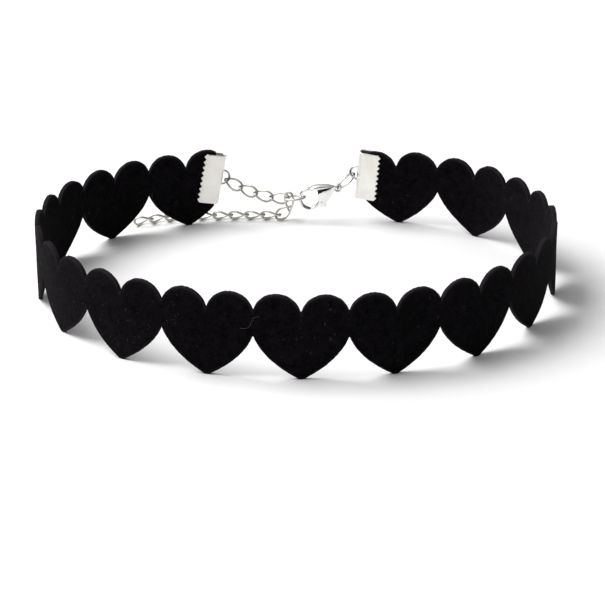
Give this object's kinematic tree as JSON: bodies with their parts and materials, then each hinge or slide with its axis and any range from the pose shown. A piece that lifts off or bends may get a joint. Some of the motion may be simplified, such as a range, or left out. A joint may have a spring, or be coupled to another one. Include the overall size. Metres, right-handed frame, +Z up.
{
  "type": "choker necklace",
  "caption": "Felt choker cut as a row of joined hearts, with toothed ribbon clamps, a lobster clasp and an extender chain of twisted links.",
  "frame": {"origin": "middle of the bounding box at the resting surface, inside the ring", "axes": "+Z up along the neck, -Y towards the heart at the front of the neck, clasp at +Y"},
  "size_m": [0.1176, 0.0946, 0.0193],
  "materials": {
    "felt": "matt",
    "clamp_metal": "satin",
    "chain_metal": "polished",
    "clasp_metal": "polished"
  },
  "bodies": {
    "choker": {"heart_band": "felt", "left_clamp": "clamp_metal", "right_clamp": "clamp_metal", "chain_link_01": "chain_metal", "chain_link_02": "chain_metal", "chain_link_03": "chain_metal", "chain_link_04": "chain_metal", "chain_link_05": "chain_metal", "chain_link_06": "chain_metal", "chain_link_07": "chain_metal", "chain_link_08": "chain_metal", "chain_link_09": "chain_metal", "chain_link_10": "chain_metal", "chain_link_11": "chain_metal", "chain_link_12": "chain_metal", "chain_link_13": "chain_metal", "chain_link_14": "chain_metal", "chain_link_15": "chain_metal", "chain_link_16": "chain_metal", "jump_ring": "clasp_metal", "clasp_body": "clasp_metal"},
    "lever": {"clasp_lever": "clasp_metal"}
  },
  "joints": [
    {"name": "lever_hinge", "type": "hinge", "parent": "choker", "child": "lever", "pos_m": [0.00602, 0.04423, 0.00536], "axis": [-0.0103, 0.9999, 0], "range_deg": [0, 30], "stiffness_Nm_per_rad": 0.004, "springref_deg": -17.19}
  ]
}
